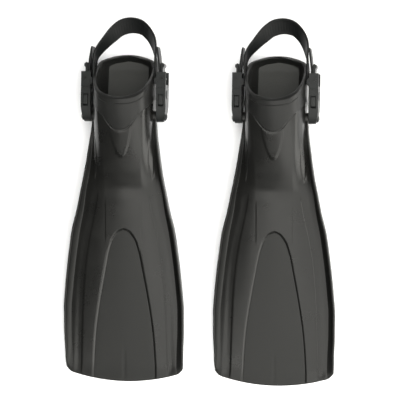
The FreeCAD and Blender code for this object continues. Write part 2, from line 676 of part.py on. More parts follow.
    # ratchet lever with hub, pawl and thumb tab
    b = new_body("%s_%s_ratchet_lever" % (fin, side))
    sk = new_sketch(b, tag + "LeverHubSketch", "XY_Plane")
    add_circle(sk, D("pin_x"), D("pin_y"), D("hub_r"))
    pad(b, tag + "LeverHub", sk, 17)
    sk = new_sketch(b, tag + "LeverArmSketch", "XY_Plane")
    add_poly(sk, [(-1.5, 66.5), (-1.5, 73.5), (-1.7, 75), (-1.5, 76.5), (-1.6, 92), (0.6, 93),
                  (4.2, 90.5), (4.4, 87), (2.2, 84), (2.0, 76), (4.4, 67)])
    pad(b, tag + "LeverArm", sk, 22)
    sk = new_sketch(b, tag + "LeverBoreSketch", "XY_Plane")
    add_circle(sk, D("pin_x"), D("pin_y"), D("pin_bore_r"))
    pocket(b, tag + "LeverBore", sk)
    place(b, px, py, pz, turn)

    # lever pin and the two coils of its return spring
    b = new_body("%s_%s_lever_pin" % (fin, side))
    sk = new_sketch(b, tag + "PinSketch", "XY_Plane")
    add_circle(sk, D("pin_x"), D("pin_y"), D("pin_r"))
    pad(b, tag + "Pin", sk, bh)
    sk = new_sketch(b, tag + "PinHeadSketch", "XY_Plane", hh, 1)
    add_circle(sk, D("pin_x"), D("pin_y"), 2.8)
    pad(b, tag + "PinHead", sk, 0.8, mid=False)
    sk = new_sketch(b, tag + "PinFootSketch", "XY_Plane", -hh - 0.8, 1)
    add_circle(sk, D("pin_x"), D("pin_y"), 2.8)
    pad(b, tag + "PinFoot", sk, 0.8, mid=False)
    place(b, px, py, pz, turn)

    coils = []
    for q, z0 in (("Upper", 11.4), ("Lower", -13.4)):
        prof = doc.addObject("Part::Torus", tag + "Coil" + q)
        prof.Radius1 = 2.7
        prof.Radius2 = 0.45
        prof.Placement = Placement(Vector(D("pin_x").v, D("pin_y").v, z0 + 0.5), Rotation())
        prof2 = doc.addObject("Part::Torus", tag + "CoilB" + q)
        prof2.Radius1 = 2.7
        prof2.Radius2 = 0.45
        prof2.Placement = Placement(Vector(D("pin_x").v, D("pin_y").v, z0 + 1.5), Rotation())
        coils += [prof, prof2]
    comp = doc.addObject("Part::Compound", "%s_%s_lever_spring" % (fin, side))
    comp.Label = "%s_%s_lever_spring" % (fin, side)
    comp.Links = coils
    rot = Rotation(Vector(0, 1, 0), 180) if turn else Rotation()
    comp.Placement = Placement(Vector(px.v, py.v, pz.v), rot)
    NODES.append(comp)

    # release prongs: arm and finger button, upper and lower
    for name, s in (("release_top", 1), ("release_bottom", -1)):
        if turn:
            s = -s
        b = new_body("%s_%s_%s" % (fin, side, name))
        sk = new_sketch(b, tag + name + "Sketch", "YZ_Plane")
        lo, hi, bu = D("prong_lo") * s, D("prong_hi") * s, D("button_hi") * s
        add_poly(sk, [(y0 - 0.05, lo), (y0 - 0.05, hi), (D("button_rear"), hi), (D("button_rear"), bu - 1.0 * s),
                      (D("button_rear") - 2, bu), (D("button_front") + 3, bu),
                      (D("button_front"), hi + 2 * s), (D("button_front"), lo)])
        pad(b, tag + name + "Pad", sk, D("prong_hw") * 2)
        place(b, px, py, pz, turn)


build_fin("left", -1, (("outer", -1), ("inner", 1)))
build_fin("right", 1, (("inner", -1), ("outer", 1)))

doc.recompute()

# --------------------------------------------------------------------- checks
bad = []
for o in doc.Objects:
    st = [str(x) for x in o.State]
    if "Invalid" in st or "Error" in st:
        bad.append("%s %s" % (o.Name, st))
for o in NODES:
    sh = o.Shape
    if sh.isNull() or not sh.isValid() or not sh.Solids or sh.Volume < 1:
        bad.append("%s bad shape" % o.Label)
if bad:
    for line in bad:
        print("FAILED", line)
    raise SystemExit(1)

for o in NODES:
    bb = o.Shape.BoundBox
    print("%-30s solids %d vol %9.1f  x %.1f..%.1f y %.1f..%.1f z %.1f..%.1f" % (
        o.Label, len(o.Shape.Solids), o.Shape.Volume, bb.XMin, bb.XMax,
        bb.YMin, bb.YMax, bb.ZMin, bb.ZMax))
    o.Shape.exportStep("parts/%s.step" % o.Label)
print("nodes", len(NODES))
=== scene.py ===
import math
import bpy
import bmesh
import numpy as np
from mathutils import Vector, Matrix


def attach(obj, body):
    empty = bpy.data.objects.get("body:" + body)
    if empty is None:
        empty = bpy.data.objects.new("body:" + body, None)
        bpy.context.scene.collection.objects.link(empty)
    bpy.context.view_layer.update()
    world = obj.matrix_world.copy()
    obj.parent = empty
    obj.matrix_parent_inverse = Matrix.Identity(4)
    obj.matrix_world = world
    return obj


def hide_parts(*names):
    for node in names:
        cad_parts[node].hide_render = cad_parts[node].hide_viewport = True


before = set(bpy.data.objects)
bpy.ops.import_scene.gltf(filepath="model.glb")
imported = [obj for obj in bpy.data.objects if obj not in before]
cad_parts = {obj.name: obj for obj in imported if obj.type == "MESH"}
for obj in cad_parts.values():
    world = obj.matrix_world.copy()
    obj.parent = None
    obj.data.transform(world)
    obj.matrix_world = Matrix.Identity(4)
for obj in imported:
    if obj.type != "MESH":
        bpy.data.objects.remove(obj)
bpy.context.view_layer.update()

BACK = 318.0          # blade tip to row origin, mm
PITCH = 132.0         # fin axis from the row's middle, mm
FINS = (("left", -1), ("right", 1))


# ----------------------------------------------------------------- numerics
def pchip(xs, ys, x):
    xs = np.asarray(xs, float)
    ys = np.asarray(ys, float)
    x = np.asarray(x, float)
    h = np.diff(xs)
    d = np.diff(ys) / h
    m = np.zeros_like(ys)
    for i in range(1, len(xs) - 1):
        if d[i - 1] * d[i] > 0:
            w1, w2 = 2 * h[i] + h[i - 1], h[i] + 2 * h[i - 1]
            m[i] = (w1 + w2) / (w1 / d[i - 1] + w2 / d[i])
    m[0], m[-1] = d[0], d[-1]
    i = np.clip(np.searchsorted(xs, x) - 1, 0, len(h) - 1)
    t = np.clip((x - xs[i]) / h[i], 0, 1)
    return (ys[i] * (2 * t**3 - 3 * t**2 + 1) + h[i] * m[i] * (t**3 - 2 * t**2 + t)
            + ys[i + 1] * (-2 * t**3 + 3 * t**2) + h[i] * m[i + 1] * (t**3 - t**2))


def sstep(a, b, x):
    t = np.clip((np.asarray(x, float) - a) / (b - a), 0, 1)
    return t * t * (3 - 2 * t)


# ------------------------------------------------------- tables along a fin
# y from the tip; half width, underside, edge, shoulder x z, crest x z, crown
BLADE = np.array([
    (0, 93.0, 0.4, 3.2, 66, 3.5, 36, 3.8, 4.0),
    (12, 93.0, 0.4, 3.5, 68, 3.9, 36, 4.3, 4.5),
    (20, 92.0, 0.4, 3.6, 69, 4.2, 36, 4.7, 4.9),
    (55, 92.6, 3.9, 6.9, 70, 8.3, 38, 9.2, 9.5),
    (90, 93.9, 7.9, 10.6, 70, 12.6, 38, 13.9, 14.3),
    (125, 93.9, 11.8, 14.2, 70, 16.8, 38, 18.4, 18.9),
    (160, 91.3, 15.8, 18.0, 69, 21.0, 38, 23.0, 23.6),
    (195, 87.8, 19.7, 21.8, 67, 25.2, 37, 27.6, 28.4),
    (230, 83.4, 23.6, 25.8, 65, 29.4, 36, 32.3, 33.2),
    (265, 78.1, 27.6, 30.0, 62, 33.8, 35, 37.0, 38.0),
    (300, 71.4, 31.5, 34.6, 57, 38.6, 33, 41.8, 43.0),
    (335, 66.4, 35.4, 39.5, 52, 44.2, 31, 48.3, 50.0),
    (352, 62.8, 37.9, 42.5, 50, 48.0, 31, 54.0, 56.0),
    (370, 59.4, 34.8, 45.5, 48.5, 53.0, 31.5, 60.5, 63.0),
    (405, 55.1, 28.7, 51.0, 48, 60.5, 34, 71.0, 76.0),
    (438, 51.6, 23.0, 56.0, 48.5, 67.0, 36.5, 81.0, 88.0),
    (465, 52.0, 18.4, 58.0, 49.5, 72.0, 38.0, 89.0, 98.0),
    (489, 51.8, 14.2, 60.0, 49.2, 75.0, 39.0, 94.0, 105.0),
    (505, 50.2, 11.4, 60.0, 48.2, 76.0, 39.0, 95.5, 107.0),
    (535, 50.2, 6.3, 60.0, 48.2, 76.0, 39.0, 95.5, 107.0),
    (548, 50.2, 4.0, 60.0, 48.2, 76.0, 39.0, 95.5, 107.0),
    (580, 50.2, 4.0, 60.0, 48.2, 76.0, 39.0, 95.5, 107.0),
])
# inner face of the toe box and foot pocket
INNER = np.array([
    (352, 33, 41.0, 43.0, 27, 45.0, 16, 47.0, 48.0),
    (370, 42, 38.8, 44.0, 37, 49.0, 25, 54.0, 56.5),
    (405, 47.5, 32.7, 50.0, 42, 57.0, 30, 66.0, 70.5),
    (438, 46.6, 27.0, 54.0, 43.5, 64.0, 32.5, 76.5, 83.0),
    (465, 47.0, 22.4, 56.0, 44.5, 69.0, 33.5, 84.5, 92.5),
    (489, 47.0, 18.2, 58.0, 44.5, 72.0, 34.5, 89.0, 100.0),
    (505, 45.4, 15.4, 58.0, 43.3, 73.0, 34.5, 91.0, 102.5),
    (535, 45.4, 10.3, 58.0, 43.3, 73.0, 34.5, 91.0, 102.5),
    (548, 45.4, 8.2, 58.0, 43.3, 73.0, 34.5, 91.0, 102.5),
    (580, 45.4, 8.2, 58.0, 43.3, 73.0, 34.5, 91.0, 102.5),
])
RAIL = np.array([
    (0, 104.0, 0, 3.6), (12, 104.0, 0, 5.0), (20, 104.2, 0, 7.5), (55, 104.6, 3.9, 15.0),
    (90, 105.8, 7.9, 21.0), (125, 105.8, 11.8, 26.6), (160, 103.3, 15.8, 32.0),
    (195, 99.8, 19.7, 37.0), (230, 95.4, 23.6, 41.6),
    (265, 90.1, 27.6, 46.2), (300, 81.4, 31.5, 50.2),
    (335, 74.4, 35.4, 53.2), (352, 70.8, 37.0, 54.6),
    (370, 67.4, 37.0, 55.6), (405, 62.1, 37.0, 55.6),
    (438, 57.6, 37.0, 53.6), (447, 56.9, 38.0, 52.0), (456, 56.2, 40.0, 51.0),
])
PANEL = np.array([
    (-20, 54.9), (10, 54.9), (20, 54.7), (55, 53.0), (90, 50.2), (125, 45.5),
    (160, 39.6), (195, 33.0), (230, 26.0), (247, 20.5), (258, 14.0), (263.5, 8.5), (267, 0.0)])
CREASE = np.array([(0, 77.0), (20, 76.0), (90, 74.0), (160, 71.0), (213, 66.0), (249, 60.0),
                   (283, 52.5), (318, 45.5), (340, 43.0)])


def row(tab, y, extra=1.0):
    """All the numbers of a table at y."""
    return [float(pchip(tab[:, 0], tab[:, k], y)) for k in range(1, tab.shape[1])]


def vline(x):
    """Front edge of the rubber, by distance from the fin's axis."""
    return pchip([0, 8, 14, 19, 25, 31, 36, 42, 48, 53, 60],
                 [438.3, 439.8, 442.8, 448, 455.5, 463, 468.4, 474.2, 480, 486.5, 491], np.abs(x))


def rim_z(y):
    return pchip([480, 486.5, 490.5, 500, 515, 530, 545, 556, 564, 574],
                 [125, 112, 104, 97.5, 84, 66, 45, 31, 24.5, 21], y)


# ------------------------------------------------------------- mesh helpers
def to_world(P, sx, flip=False):
    """Fin millimetres to row metres."""
    P = np.asarray(P, float)
    out = np.empty_like(P)
    x = -P[..., 0] if flip else P[..., 0]
    out[..., 0] = (x + sx * PITCH) / 1000.0
    out[..., 1] = (P[..., 1] - BACK) / 1000.0
    out[..., 2] = P[..., 2] / 1000.0
    return out


def mesh_obj(name, verts, faces, smooth=True, angle=40):
    me = bpy.data.meshes.new(name)
    me.from_pydata([tuple(v) for v in verts], [], [tuple(f) for f in faces])
    bm = bmesh.new()
    bm.from_mesh(me)
    bmesh.ops.remove_doubles(bm, verts=bm.verts, dist=2e-6)
    bmesh.ops.dissolve_degenerate(bm, dist=1e-6, edges=bm.edges)
    bmesh.ops.recalc_face_normals(bm, faces=bm.faces)
    bm.to_mesh(me)
    bm.free()
    me.validate()
    ob = bpy.data.objects.new(name, me)
    bpy.context.scene.collection.objects.link(ob)
    if smooth:
        for p in me.polygons:
            p.use_smooth = True
        me.set_sharp_from_angle(angle=math.radians(angle))
    return ob


def grid_faces(n, m, close_m=True, off=0):
    f = []
    mm = m if close_m else m - 1
    for i in range(n - 1):
        for j in range(mm):
            a = off + i * m + j
            b = off + i * m + (j + 1) % m
            c = off + (i + 1) * m + (j + 1) % m
            d = off + (i + 1) * m + j
            f.append((a, b, c, d))
    return f


def loop_solid(name, G, sx, cap0="fan", cap1="fan", flip=False, angle=40):
    """A closed skin from rings G[n, m, 3] in fin millimetres."""
    n, m, _ = G.shape
    V = to_world(G, sx, flip).reshape(-1, 3)
    F = grid_faces(n, m)
    V = list(map(tuple, V))
    for which, ring in ((cap0, range(m)), (cap1, range((n - 1) * m, n * m))):
        ring = list(ring)
        if which == "fan":
            c = np.mean([V[k] for k in ring], axis=0)
            V.append(tuple(c))
            k0 = len(V) - 1
            for a, b in zip(ring, ring[1:] + ring[:1]):
                F.append((a, b, k0))
        elif which == "strip":
            h = m // 2
            for k in range(h - 1):
                a, b = ring[k], ring[k + 1]
                c, d = ring[m - 2 - k], ring[m - 1 - k]
                if len({a, b, c, d}) == 4:
                    F.append((a, b, c, d))
    return mesh_obj(name, V, F, angle=angle)


# ---------------------------------------------------------------- materials
def new_mat(name):
    m = bpy.data.materials.new(name)
    m.use_nodes = True
    nt = m.node_tree
    nt.nodes.clear()
    out = nt.nodes.new("ShaderNodeOutputMaterial")
    bs = nt.nodes.new("ShaderNodeBsdfPrincipled")
    nt.links.new(bs.outputs[0], out.inputs[0])
    return m, nt, bs


def polymer(name, dark, light, rough=(0.38, 0.5), spec=0.5, grain=900.0, grain_h=0.25,
            cloud=22.0, streak=None, coat=0.0):
    """Moulded rubber or plastic: mottled tone, fine grain and uneven sheen."""
    m, nt, bs = new_mat(name)
    N, L = nt.nodes, nt.links
    tc = N.new("ShaderNodeTexCoord")
    cl = N.new("ShaderNodeTexNoise")
    cl.inputs["Scale"].default_value = cloud
    cl.inputs["Detail"].default_value = 5
    cl.inputs["Roughness"].default_value = 0.6
    L.new(tc.outputs["Object"], cl.inputs["Vector"])
    fine = N.new("ShaderNodeTexNoise")
    fine.inputs["Scale"].default_value = grain
    fine.inputs["Detail"].default_value = 3
    L.new(tc.outputs["Object"], fine.inputs["Vector"])
    ramp = N.new("ShaderNodeValToRGB")
    ramp.color_ramp.elements[0].position = 0.3
    ramp.color_ramp.elements[1].position = 0.75
    ramp.color_ramp.elements[0].color = (*dark, 1)
    ramp.color_ramp.elements[1].color = (*light, 1)
    L.new(cl.outputs["Fac"], ramp.inputs["Fac"])
    speck = N.new("ShaderNodeMixRGB")
    speck.blend_type = "MULTIPLY"
    speck.inputs["Fac"].default_value = 0.35
    sr = N.new("ShaderNodeValToRGB")
    sr.color_ramp.elements[0].position = 0.35
    sr.color_ramp.elements[1].position = 0.62
    sr.color_ramp.elements[0].color = (0.72, 0.72, 0.72, 1)
    sr.color_ramp.elements[1].color = (1, 1, 1, 1)
    L.new(fine.outputs["Fac"], sr.inputs["Fac"])
    L.new(ramp.outputs[0], speck.inputs[1])
    L.new(sr.outputs[0], speck.inputs[2])
    L.new(speck.outputs[0], bs.inputs["Base Color"])
    rr = N.new("ShaderNodeMapRange")
    rr.inputs["From Min"].default_value = 0.3
    rr.inputs["From Max"].default_value = 0.7
    rr.inputs["To Min"].default_value = rough[0]
    rr.inputs["To Max"].default_value = rough[1]
    L.new(cl.outputs["Fac"], rr.inputs["Value"])
    L.new(rr.outputs[0], bs.inputs["Roughness"])
    bs.inputs["Specular IOR Level"].default_value = spec
    if coat:
        bs.inputs["Coat Weight"].default_value = coat
        bs.inputs["Coat Roughness"].default_value = 0.35
    b1 = N.new("ShaderNodeBump")
    b1.inputs["Strength"].default_value = grain_h
    b1.inputs["Distance"].default_value = 0.0003
    L.new(fine.outputs["Fac"], b1.inputs["Height"])
    last = b1
    if streak:
        mp = N.new("ShaderNodeMapping")
        mp.inputs["Scale"].default_value = streak
        L.new(tc.outputs["Object"], mp.inputs["Vector"])
        st = N.new("ShaderNodeTexNoise")
        st.inputs["Scale"].default_value = 1.0
        st.inputs["Detail"].default_value = 1.5
        L.new(mp.outputs[0], st.inputs["Vector"])
        b2 = N.new("ShaderNodeBump")
        b2.inputs["Strength"].default_value = 0.15
        b2.inputs["Distance"].default_value = 0.0002
        L.new(st.outputs["Fac"], b2.inputs["Height"])
        L.new(b1.outputs[0], b2.inputs["Normal"])
        last = b2
    L.new(last.outputs[0], bs.inputs["Normal"])
    return m


def steel(name, tone):
    m, nt, bs = new_mat(name)
    N, L = nt.nodes, nt.links
    tc = N.new("ShaderNodeTexCoord")
    no = N.new("ShaderNodeTexNoise")
    no.inputs["Scale"].default_value = 700
    no.inputs["Detail"].default_value = 4
    L.new(tc.outputs["Object"], no.inputs["Vector"])
    ramp = N.new("ShaderNodeValToRGB")
    ramp.color_ramp.elements[0].color = (tone * 0.8, tone * 0.8, tone * 0.82, 1)
    ramp.color_ramp.elements[1].color = (tone * 1.15, tone * 1.15, tone * 1.15, 1)
    L.new(no.outputs["Fac"], ramp.inputs["Fac"])
    L.new(ramp.outputs[0], bs.inputs["Base Color"])
    rr = N.new("ShaderNodeMapRange")
    rr.inputs["To Min"].default_value = 0.28
    rr.inputs["To Max"].default_value = 0.42
    L.new(no.outputs["Fac"], rr.inputs["Value"])
    L.new(rr.outputs[0], bs.inputs["Roughness"])
    bs.inputs["Metallic"].default_value = 1.0
    b = N.new("ShaderNodeBump")
    b.inputs["Strength"].default_value = 0.15
    b.inputs["Distance"].default_value = 0.0001
    L.new(no.outputs["Fac"], b.inputs["Height"])
    L.new(b.outputs[0], bs.inputs["Normal"])
    return m


M = {
    "blade_plastic": polymer("fin_blade_plastic", (0.0056, 0.0056, 0.0051), (0.0086, 0.0086, 0.0078),
                             rough=(0.26, 0.32), grain=1100, grain_h=0.12, streak=(60, 9, 60)),
    "panel_rubber": polymer("fin_panel_rubber", (0.0064, 0.0066, 0.0059), (0.0096, 0.0098, 0.0088),
                            rough=(0.38, 0.46), grain=1500, grain_h=0.25),
    "rail_rubber": polymer("fin_rail_rubber", (0.0058, 0.0059, 0.0054), (0.0086, 0.0088, 0.0080),
                           rough=(0.40, 0.50), spec=0.36, grain=1300, grain_h=0.25),
    "pocket_rubber": polymer("fin_pocket_rubber", (0.0061, 0.0062, 0.0058), (0.0090, 0.0092, 0.0085),
                             rough=(0.38, 0.48), spec=0.44, grain=1400, grain_h=0.28),
    "bed_rubber": polymer("fin_bed_rubber", (0.0176, 0.0179, 0.0158), (0.0238, 0.0243, 0.0218),
                          rough=(0.46, 0.58), grain=1000, grain_h=0.35),
    "sole_rubber": polymer("fin_sole_rubber", (0.0058, 0.0058, 0.0054), (0.0090, 0.0090, 0.0083),
                           rough=(0.50, 0.62), grain=800, grain_h=0.4),
    "strap_rubber": polymer("fin_strap_rubber", (0.0026, 0.0030, 0.0030), (0.0044, 0.0050, 0.0050),
                            rough=(0.42, 0.54), spec=0.36, grain=1400, grain_h=0.28),
    "buckle_plastic": polymer("fin_buckle_plastic", (0.0054, 0.0064, 0.0062), (0.0083, 0.0096, 0.0094),
                              rough=(0.36, 0.46), grain=1800, grain_h=0.3),
    "button_plastic": polymer("fin_button_plastic", (0.0077, 0.0088, 0.0086), (0.0115, 0.0128, 0.0123),
                              rough=(0.36, 0.46), grain=1800, grain_h=0.25),
    "lever_plastic": polymer("fin_lever_plastic", (0.0045, 0.0053, 0.0051), (0.0069, 0.0078, 0.0077),
                             rough=(0.34, 0.44), grain=1800, grain_h=0.25),
    "pin_steel": steel("fin_pin_steel", 0.05),
    "spring_steel": steel("fin_spring_steel", 0.4),
}


def wear(piece, mat, body, nodes):
    piece.data.materials.clear()
    piece.data.materials.append(M[mat])
    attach(piece, body)
    if nodes:
        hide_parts(*nodes)


# ------------------------------------------------------------------- blade
NT, NS, NB = 125, 5, 33      # points across the top, down a side, below


def top_z(vals, x):
    w, zb, ze, x1, z1, x2, z2, zt = vals
    ks = [-w, -x1, -x2, 0, x2, x1, w]
    return pchip(ks, [ze, z1, z2, zt, z2, z1, ze], x)


def tip_in(x):
    """How far the tip edge falls back from the fin's foremost point."""
    x = np.abs(x)
    return 16.0 * (x / 100.0) ** 2 + 9.0 * np.clip((x - 90.0) / 15.0, 0, 3) ** 2.6


def columns(y, w):
    """Mesh columns from the middle to the edge, laid along the panel's
    border and the step line so that neither is cut into stairs."""
    f = float(sstep(228, 250, y))
    pm = (1 - f) * float(pchip(PANEL[:, 0], PANEL[:, 1], min(y, 262.0))) + f * 31.0
    xc = float(pchip(CREASE[:, 0], CREASE[:, 1], min(y, 338.0)))
    xc = min(max(xc, pm + 4.5), w - 6.0)
    return np.concatenate([
        np.linspace(0, pm - 2.4, 22), [pm - 1.8, pm - 1.2, pm - 0.3, pm + 0.25, pm + 0.8, pm + 1.3,
                                       pm + 1.85, pm + 2.4],
        np.linspace(pm + 2.4, xc - 0.2, 13)[1:], [xc + 0.4, xc + 1.0, xc + 1.6],
        xc + 1.6 + (w - xc - 1.6) * np.sin(np.linspace(0, 1, 19)[1:] * math.pi / 2)])


def ring(vals, y, detail=True, drop=0.0, top_n=NT):
    """One closed section: across the top, down, below, up.  Returns x, z."""
    w, zb, ze = vals[0], vals[1], vals[2]
    ph = np.linspace(-1, 1, top_n)
    x = w * (0.55 * ph + 0.45 * np.sin(ph * math.pi / 2))
    if detail and y < 345 and top_n == NT:
        k = float(1 - sstep(318, 345, y))
        h = columns(y, w)
        x = (1 - k) * x + k * np.concatenate([-h[:0:-1], h])
    z = top_z(vals, x)
    if detail:
        z = z + relief(x, y)
    side = np.linspace(0, 1, NS + 2)[1:-1]
    rx = w - 0.9 * sstep(0.55, 1.0, side) * min(1.0, (ze - zb) / 8.0)
    rz = ze + (zb - ze) * side
    xb = np.linspace(1, -1, NB) * (w - 1.6)
    lift = min(3.0, 0.25 * (float(vals[7]) - zb)) * (1 - (xb / w) ** 2) * (1 if y < 345 else 0)
    zbm = zb + lift * 0.7
    X = np.concatenate([x, rx, xb, -rx[::-1]])
    Z = np.concatenate([z, rz, zbm, rz[::-1]])
    return X, Z


def step_depth(y):
    return 1.1 + 0.9 * float(sstep(4, 45, y))


def bed_depth(y):
    return 0.9 + 0.5 * float(sstep(4, 30, y))


def relief(x, y):
    """Moulded detail on the blade's upper face, in mm."""
    ax = np.abs(x)
    z = np.zeros_like(ax)
    # sunk panel seat with a sloping border
    if y < 275:
        pw = float(pchip(PANEL[:, 0], PANEL[:, 1], y)) if y < 267 else -30.0
        if y > 240:
            # round the head of the arch in true distance
            ys = np.linspace(225, 267, 60)
            ps = pchip(PANEL[:, 0], PANEL[:, 1], ys)
            d = np.sqrt((ax[:, None] - ps[None, :]) ** 2 + (y - ys[None, :]) ** 2).min(axis=1)
            d = np.where((ax < pw) & (y < 267), -d, d)
        else:
            d = ax - pw
        z -= step_depth(y) * (1 - sstep(-0.3, 2.4, d))
        z -= bed_depth(y) * (1 - sstep(-2.4, -1.2, d))
    # long step line each side of the middle
    if y < 338:
        xc = float(pchip(CREASE[:, 0], CREASE[:, 1], y))
        fade = float(sstep(0, 14, y) * (1 - sstep(318, 336, y)))
        z -= 0.75 * sstep(-0.2, 1.6, ax - xc) * fade * (1 - 0.9 * sstep(xc + 6, xc + 16, ax))
        if y > 235:
            xi = 31 + (y - 248) * 0.0
            z += 0.35 * (1 - sstep(-0.3, 1.4, ax - xi)) * float(sstep(240, 256, y) * (1 - sstep(305, 325, y)))
    if y > 428:
        z -= 0.7 * sstep(-3.6, -0.6, y - vline(x))
    # raised tongue over the toes
    if 380 < y < 445:
        edge = 17.0 * math.sqrt(max(0.0, (y - 392.5) / 40.0))
        z += 0.9 * (1 - sstep(edge - 1.0, edge + 1.8, ax)) * (1 if y > 392.5 else 0)
    # shallow lens on each shoulder of the toe box
    if 350 < y < 432:
        t = (y - 352) / 78.0
        half = 4.2 * math.sin(math.pi * min(1, max(0, t)) ** 0.8)
        mid = 50.5 - 2.0 * t
        if half > 0.2:
            z += 0.8 * (1 - sstep(half - 1.0, half + 0.6, np.abs(ax - mid)))
    return z


def rows_blade():
    ys = list(np.linspace(0, 1, 9) ** 1.5 * 12.0) + list(np.arange(13.5, 236, 2.0)) + \
        list(np.arange(236, 272, 1.0)) + list(np.arange(272, 340, 2.2)) + list(np.arange(341, 438, 2.2))
    return ys


def build_blade(fin, sx):
    ys = rows_blade()
    rings = []
    for y in ys:
        vals = row(BLADE, y)
        X, Z = ring(vals, max(y, 0.0))
        fade = max(0.0, 1 - y / 46.0) ** 1.6
        Y = y + tip_in(X) * fade
        # the tip edge is rounded over
        if y < 2.0:
            k = math.sqrt(max(0.0, 1 - (1 - y / 2.0) ** 2))
            mid = 1.7
            Z = mid + (Z - mid) * (0.25 + 0.75 * k)
        rings.append(np.stack([X, Y, Z], -1))
    # on from the toe box to under the rubber's edge
    base = ys[-1]
    m = rings[0].shape[0]
    xs_end = rings[-1][:, 0]
    zs_end = rings[-1][:, 2]
    top = np.zeros(m, bool)
    top[:NT] = True
    sidew = np.ones(m)
    yv = vline(xs_end)
    yend = np.where(top, yv + 3.0, 0)
    nsd = NS
    yend[NT:NT + nsd] = np.linspace(500, 500, nsd)
    yend[NT + nsd + NB:] = np.linspace(500, 500, nsd)
    yend[NT + nsd:NT + nsd + NB] = 470
    yend = np.maximum(yend, base + 4)
    for k in range(1, 25):
        f = k / 24.0
        Y = base + (yend - base) * f
        P = np.zeros((m, 3))
        # evaluate each column at its own y
        for yq in np.unique(np.round(Y, 1)):
            idx = np.where(np.abs(np.round(Y, 1) - yq) < 1e-6)[0]
            X, Z = ring(row(BLADE, float(yq)), float(yq))
            P[idx, 0], P[idx, 2] = X[idx], Z[idx]
        P[:, 1] = Y
        rings.append(P)
    # turn in and run forward as the inner face of the toe box
    for k in range(0, 20):
        f = k / 19.0
        Y = yend + (354.0 - yend) * f
        P = np.zeros((m, 3))
        for yq in np.unique(np.round(Y, 1)):
            idx = np.where(np.abs(np.round(Y, 1) - yq) < 1e-6)[0]
            Xo, Zo = ring(row(BLADE, float(yq)), float(yq), detail=False)
            Xi, Zi = ring(row(INNER, float(max(yq, 352))), float(yq), detail=False)
            s = 0.45
            P[idx, 0] = (Xo + (Xi - Xo) * s)[idx]
            P[idx, 2] = (Zo + (Zi - Zo) * s)[idx]
        P[:, 1] = Y
        rings.append(P)
    G = np.stack(rings)
    ob = loop_solid(fin + ".blade", G, sx, cap0="strip2", cap1="fan", angle=35)
    return ob


def build_rail(fin, side, s, sx):
    ys = list(np.linspace(0, 1, 8) ** 1.5 * 14.0) + list(np.arange(16, 455, 2.4)) + [455.0, 456.2, 456.8]
    rings = []
    for y in ys:
        wo, zb, zt = row(RAIL, min(y, 455))
        wi = row(BLADE, min(y, 455))[0] + (0.05 if y < 436 else 0.3)
        ze = row(BLADE, min(y, 455))[2]
        zi = min(max(ze, zb + 1.0), zt - 1.5)
        kx = [wi, wi + 0.10 * (wo - wi), wi + 0.34 * (wo - wi), wi + 0.62 * (wo - wi),
              wo - 3.2, wo - 1.6, wo - 0.5, wo, wo, wo - 0.25, wo - 1.3, wo - 2.6, wi + 0.4 * (wo - wi), wi]
        kz = [zi, zi + 0.05 * (zt - zi), zi + 0.28 * (zt - zi), zi + 0.68 * (zt - zi),
              zt - 0.35, zt, zt - 0.55, zt - 1.9, zb + 2.4, zb + 1.2, zb + 0.35, zb, zb, zb]
        # refine with a smooth closed walk
        kx, kz = np.array(kx), np.array(kz)
        t = np.arange(len(kx))
        tt = np.concatenate([np.linspace(0, 8, 33)[:-1], np.linspace(8, 13, 13)])
        X = pchip(t, kx, tt)
        Z = pchip(t, kz, tt)
        if y > 455:
            cx, cz, q = X.mean(), Z.mean(), {456.2: 0.86, 456.8: 0.6}[y]
            X, Z = cx + (X - cx) * q, cz + (Z - cz) * q
        Z = np.maximum(Z, zb * 0 + 0.0)
        fade = max(0.0, 1 - y / 46.0) ** 1.6
        Y = y + tip_in(X) * fade
        if y < 2.5:
            k = math.sqrt(max(0.0, 1 - (1 - y / 2.5) ** 2))
            mid = zb + 1.6
            Z = mid + (Z - mid) * (0.25 + 0.75 * k)
        rings.append(np.stack([X * s, Y, Z], -1))
    G = np.stack(rings)
    return loop_solid("%s.%s_rail" % (fin, side), G, sx, angle=50)


def build_panel(fin, sx):
    """Sunk arch: a thin insert that follows the blade's crown."""
    ys = list(0.6 + 2.4 * np.linspace(0, 1, 6) ** 1.4) + list(np.arange(4.5, 240, 2.5)) + \
        list(np.arange(240, 266.5, 1.0))
    rings = []
    nt = 61
    for y in ys:
        pw = float(pchip(PANEL[:, 0], PANEL[:, 1], y)) - 0.35
        vals = row(BLADE, y)
        ph = np.linspace(-1, 1, nt)
        x = pw * np.sin(ph * math.pi / 2) if pw > 3 else pw * ph
        z = top_z(vals, x) - step_depth(y) + 0.1
        # eased edge, faint spine line toward the tip
        d = pw - np.abs(x)
        z -= 0.8 * (1 - sstep(0.0, 1.5, d)) ** 2
        z -= 0.28 * np.exp(-((x) / 0.9) ** 2) * float(1 - sstep(45, 62, y))
        xb = x[::-1]
        zb = top_z(vals, xb) - step_depth(y) - bed_depth(y) + 0.15
        X = np.concatenate([x, xb])
        Z = np.concatenate([z, zb])
        fade = max(0.0, 1 - y / 46.0) ** 1.6
        Y = y + tip_in(X) * fade
        if y < 3.0:
            k = (y - 0.6) / 2.4
            q = math.sqrt(max(0.0, 1 - (1 - k) ** 2))
            zm = (Z[:nt] + Z[nt:][::-1]) / 2 - 0.3
            Z[:nt] = zm + (Z[:nt] - zm) * q
            Z[nt:] = zm[::-1] + (Z[nt:] - zm[::-1]) * q
        rings.append(np.stack([X, Y, Z], -1))
    G = np.stack(rings)
    return loop_solid(fin + ".blade_panel", G, sx, angle=40)


# -------------------------------------------------------------- foot pocket
PM = 120


